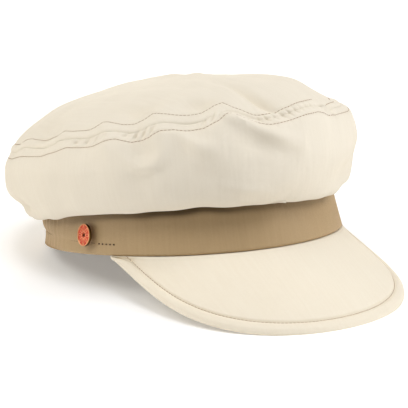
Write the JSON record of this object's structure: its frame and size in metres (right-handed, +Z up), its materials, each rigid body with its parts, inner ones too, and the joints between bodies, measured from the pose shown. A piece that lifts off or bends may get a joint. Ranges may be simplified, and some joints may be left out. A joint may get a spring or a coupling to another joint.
{
  "type": "skipper cap",
  "caption": "Soft cloth skipper cap with a full gathered crown, a plain head band, a short covered peak and a small round side badge.",
  "frame": {"origin": "on the surface that the cap rests on, under the middle of its box", "axes": "+Z up, -Y towards the peak at the front, -X towards the wearer's right side with the badge"},
  "size_m": [0.1974, 0.2844, 0.117],
  "materials": {
    "crown_cloth": "matt cream cotton",
    "peak_cloth": "matt warm cream cotton over a stiff board",
    "band_cloth": "smooth taupe cotton with a slight sheen",
    "badge_enamel": "coral enamel on copper-coloured metal",
    "badge_metal": "plain pressed metal"
  },
  "bodies": {
    "root": {"crown_top": "crown_cloth", "crown_side": "crown_cloth", "band": "band_cloth", "peak": "peak_cloth", "badge": "badge_enamel", "badge_post": "badge_metal"}
  },
  "joints": []
}
